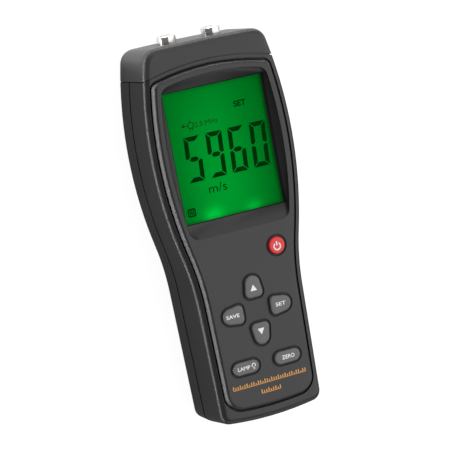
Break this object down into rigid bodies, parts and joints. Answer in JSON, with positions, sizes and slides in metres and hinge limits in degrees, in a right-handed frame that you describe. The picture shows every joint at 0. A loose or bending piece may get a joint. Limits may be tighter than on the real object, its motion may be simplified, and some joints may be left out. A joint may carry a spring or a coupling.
{
  "type": "ultrasonic thickness gauge",
  "caption": "Handheld ultrasonic thickness gauge: waisted moulded case, raised keypad panel, sunk backlit display, probe sockets on the top end and a sliding battery door in the back.",
  "frame": {"origin": "on the plane that the back lies on, under the middle of the overall length and width", "axes": "+X to the right of the display, +Y up the case toward the probe sockets, +Z out of the display"},
  "size_m": [0.0726, 0.1872, 0.0379],
  "materials": {
    "case_plastic": "fine spark-eroded moulded texture",
    "cap_plastic": "fine spark-eroded moulded texture",
    "panel_plastic": "satin painted moulding",
    "window_glass": "clear hard-coated sheet",
    "display_glass": "green-lit liquid crystal cell",
    "light_guide": "milky diffuser",
    "frame_plastic": "plain moulded",
    "strip_rubber": "layered silicone",
    "board_laminate": "solder mask",
    "chip_plastic": "moulded epoxy",
    "ferrite": "sintered, taped",
    "tinned_steel": "bright tin plate",
    "capacitor_sleeve": "shrunk sleeve",
    "mat_rubber": "smooth silicone",
    "red_key": "soft satin",
    "grey_key": "soft satin",
    "nickel": "polished plating",
    "insulator": "turned",
    "gilt_brass": "gilt",
    "lead_sleeve": "extruded sleeve",
    "cell_wrap": "shrunk foil",
    "screw_steel": "zinc plated"
  },
  "bodies": {
    "case": {"rear_shell": "case_plastic", "front_shell": "case_plastic", "top_cap": "cap_plastic", "front_panel": "panel_plastic", "display_window": "window_glass", "lcd_cell": "display_glass", "backlight": "light_guide", "display_frame": "frame_plastic", "contact_strip": "strip_rubber", "main_board": "board_laminate", "processor": "chip_plastic", "pulse_transformer": "ferrite", "crystal": "tinned_steel", "capacitors": "capacitor_sleeve", "key_switches": "chip_plastic", "keypad_mat": "mat_rubber", "left_socket": "nickel", "right_socket": "nickel", "socket_nuts": "nickel", "socket_insulators": "insulator", "socket_contacts": "gilt_brass", "left_lead": "lead_sleeve", "right_lead": "lead_sleeve", "battery_1": "cell_wrap", "battery_2": "cell_wrap", "battery_3": "cell_wrap", "battery_4": "cell_wrap", "battery_springs": "tinned_steel", "battery_plates": "tinned_steel", "case_screws": "screw_steel", "board_screws": "screw_steel"},
    "power_key_body": {"power_key": "red_key"},
    "up_key_body": {"up_key": "grey_key"},
    "down_key_body": {"down_key": "grey_key"},
    "left_key_body": {"left_key": "grey_key"},
    "right_key_body": {"right_key": "grey_key"},
    "light_key_body": {"light_key": "grey_key"},
    "zero_key_body": {"zero_key": "grey_key"},
    "door": {"battery_door": "case_plastic"}
  },
  "joints": [
    {"name": "power_key_press", "type": "slide", "parent": "case", "child": "power_key_body", "axis": [0, 0, -1], "range_m": [0, 0.0008], "stiffness_N_per_m": 1500},
    {"name": "up_key_press", "type": "slide", "parent": "case", "child": "up_key_body", "axis": [0, 0, -1], "range_m": [0, 0.0008], "stiffness_N_per_m": 1500},
    {"name": "down_key_press", "type": "slide", "parent": "case", "child": "down_key_body", "axis": [0, 0, -1], "range_m": [0, 0.0008], "stiffness_N_per_m": 1500},
    {"name": "left_key_press", "type": "slide", "parent": "case", "child": "left_key_body", "axis": [0, 0, -1], "range_m": [0, 0.0008], "stiffness_N_per_m": 1500},
    {"name": "right_key_press", "type": "slide", "parent": "case", "child": "right_key_body", "axis": [0, 0, -1], "range_m": [0, 0.0008], "stiffness_N_per_m": 1500},
    {"name": "light_key_press", "type": "slide", "parent": "case", "child": "light_key_body", "axis": [0, 0, -1], "range_m": [0, 0.0008], "stiffness_N_per_m": 1500},
    {"name": "zero_key_press", "type": "slide", "parent": "case", "child": "zero_key_body", "axis": [0, 0, -1], "range_m": [0, 0.0008], "stiffness_N_per_m": 1500},
    {"name": "battery_door_slide", "type": "slide", "parent": "case", "child": "door", "axis": [0, -1, 0], "range_m": [0, 0.06]}
  ]
}
